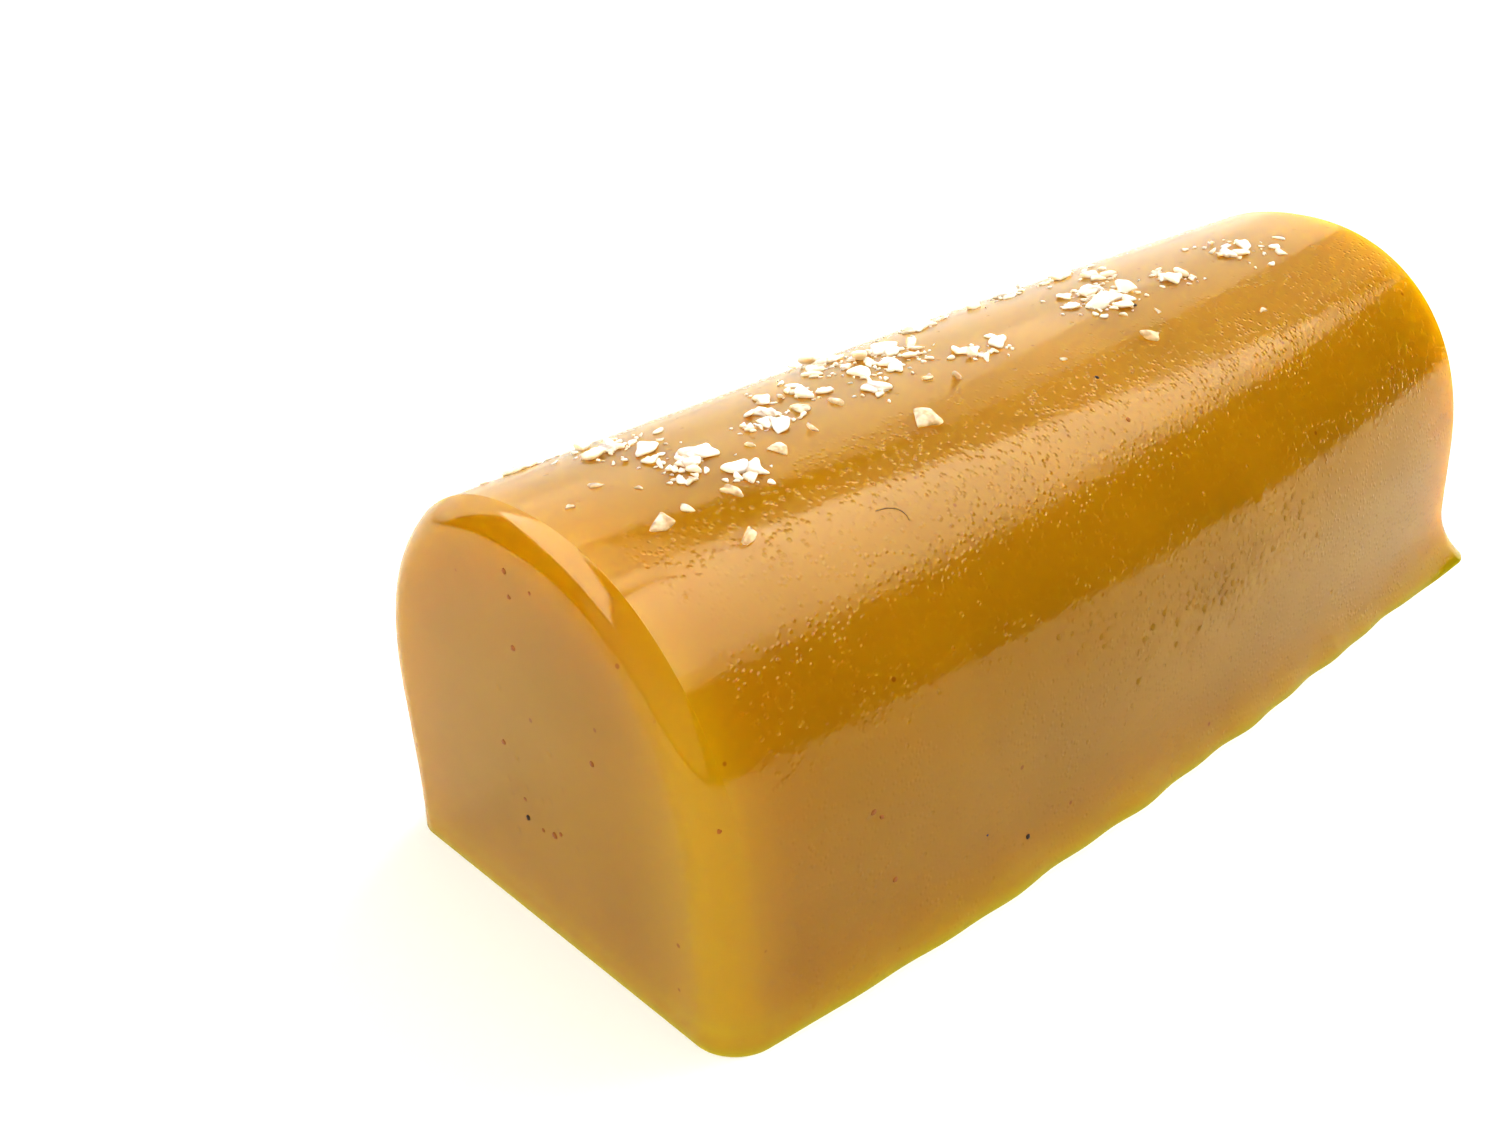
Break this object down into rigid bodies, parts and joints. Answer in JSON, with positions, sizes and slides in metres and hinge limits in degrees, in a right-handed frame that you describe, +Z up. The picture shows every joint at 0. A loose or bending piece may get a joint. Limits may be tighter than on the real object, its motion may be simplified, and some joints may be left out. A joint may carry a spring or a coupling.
{
  "type": "salted caramel candy",
  "caption": "Round-topped bar of soft golden caramel with flat ends and base, sprinkled along the ridge with coarse white sea salt; a sweet that rests flat.",
  "frame": {"origin": "middle of the bar's flat base", "axes": "+X along the bar towards its slumped end, +Y across it, +Z up to the ridge"},
  "size_m": [0.0766, 0.0335, 0.0259],
  "materials": {
    "caramel": "glossy soft caramel, slightly translucent",
    "sea_salt": "translucent white crystals"
  },
  "bodies": {
    "root": {"caramel_bar": "caramel"}
  },
  "joints": []
}
